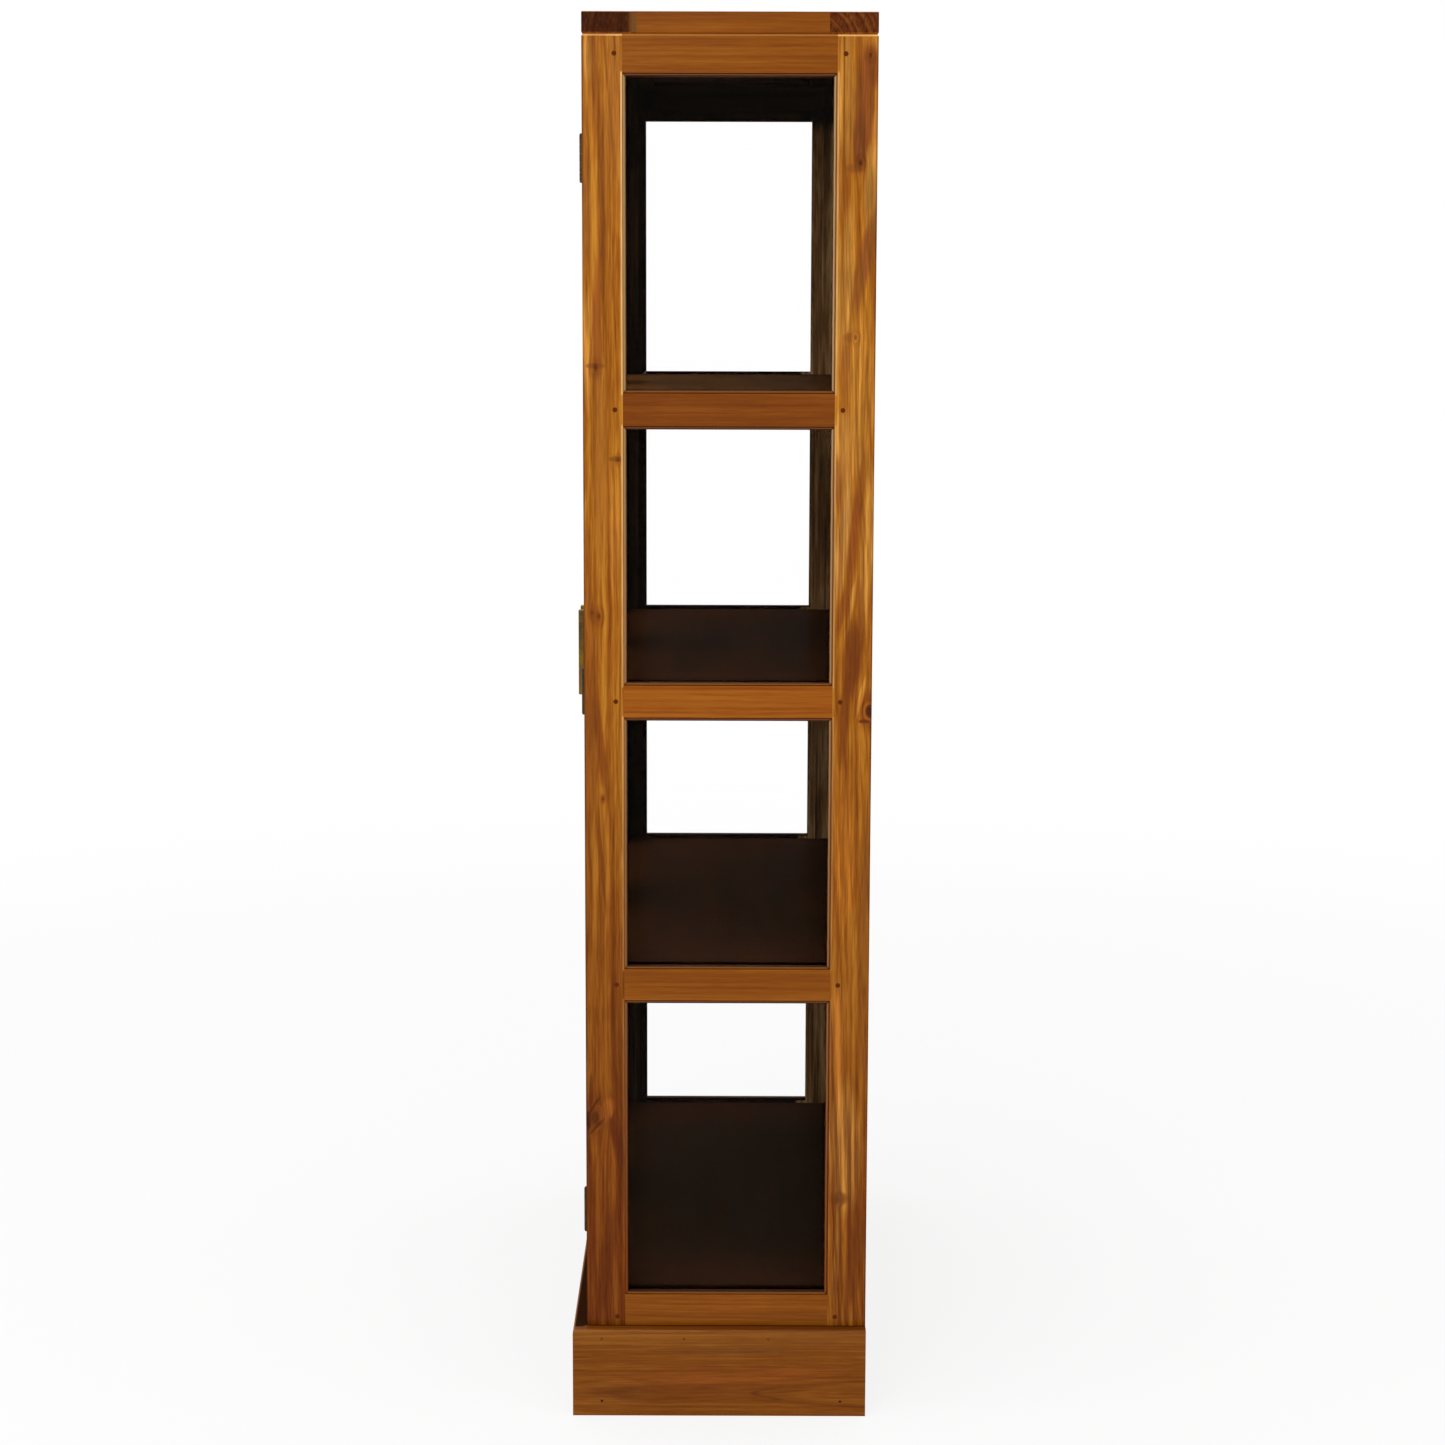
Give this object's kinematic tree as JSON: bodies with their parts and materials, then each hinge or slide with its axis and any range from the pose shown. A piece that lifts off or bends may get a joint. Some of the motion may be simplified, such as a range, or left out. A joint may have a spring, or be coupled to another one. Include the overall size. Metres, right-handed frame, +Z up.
{
  "type": "display cabinet",
  "caption": "Tall free-standing wooden display cabinet with hinged glazed doors, glazed sides, shelves, a framed top and a nailed plinth.",
  "frame": {"origin": "on the floor, at the centre of the ground that the cabinet covers with its handles", "axes": "+Z up, the doors face -Y, +X to the right for someone facing the doors"},
  "size_m": [0.9, 0.394, 1.8],
  "materials": {
    "frame_wood": "varnished hardwood, orange-brown with knots",
    "plinth_wood": "varnished hardwood, duller brown than the frames",
    "inside_wood": "dark stained hardwood",
    "peg_wood": "dark end grain",
    "glass": "clear, flat",
    "antique_brass": "antique brass, brushed and dulled",
    "steel": "dull",
    "catch_plastic": "dark brown"
  },
  "bodies": {
    "case": {"back_panel": "inside_wood", "bottom_panel": "inside_wood", "case_hinge_leaves": "antique_brass", "case_screws": "antique_brass", "door_catch": "catch_plastic", "hinge_pins": "antique_brass", "lower_shelf": "inside_wood", "middle_shelf": "inside_wood", "plinth_front": "plinth_wood", "plinth_left": "plinth_wood", "plinth_nails": "steel", "plinth_rear": "plinth_wood", "plinth_right": "plinth_wood", "side_inner_beads": "frame_wood", "side_left_back_stile": "frame_wood", "side_left_bottom_rail": "frame_wood", "side_left_front_stile": "frame_wood", "side_left_lower_rail": "frame_wood", "side_left_middle_rail": "frame_wood", "side_left_panes": "glass", "side_left_top_rail": "frame_wood", "side_left_upper_rail": "frame_wood", "side_outer_beads": "frame_wood", "side_pegs": "peg_wood", "side_right_back_stile": "frame_wood", "side_right_bottom_rail": "frame_wood", "side_right_front_stile": "frame_wood", "side_right_lower_rail": "frame_wood", "side_right_middle_rail": "frame_wood", "side_right_panes": "glass", "side_right_top_rail": "frame_wood", "side_right_upper_rail": "frame_wood", "top_back_board": "frame_wood", "top_centre_panel": "frame_wood", "top_front_board": "frame_wood", "top_left_end_board": "frame_wood", "top_right_end_board": "frame_wood", "upper_shelf": "inside_wood"},
    "door_right": {"door_right_beads": "frame_wood", "door_right_bottom_rail": "frame_wood", "door_right_handle": "antique_brass", "door_right_hinge_leaves": "antique_brass", "door_right_hinge_stile": "frame_wood", "door_right_meeting_stile": "frame_wood", "door_right_middle_rails": "frame_wood", "door_right_panes": "glass", "door_right_screws": "antique_brass", "door_right_strike": "steel", "door_right_top_rail": "frame_wood"},
    "door_left": {"door_left_beads": "frame_wood", "door_left_bottom_rail": "frame_wood", "door_left_handle": "antique_brass", "door_left_hinge_leaves": "antique_brass", "door_left_hinge_stile": "frame_wood", "door_left_meeting_stile": "frame_wood", "door_left_middle_rails": "frame_wood", "door_left_panes": "glass", "door_left_screws": "antique_brass", "door_left_strike": "steel", "door_left_top_rail": "frame_wood"}
  },
  "joints": [
    {"name": "door_right_hinge", "type": "hinge", "parent": "case", "child": "door_right", "pos_m": [0.4055, -0.1696, 0.954], "axis": [0, 0, 1], "range_deg": [0, 170]},
    {"name": "door_left_hinge", "type": "hinge", "parent": "case", "child": "door_left", "pos_m": [-0.4055, -0.1696, 0.954], "axis": [0, 0, -1], "range_deg": [0, 170]}
  ]
}
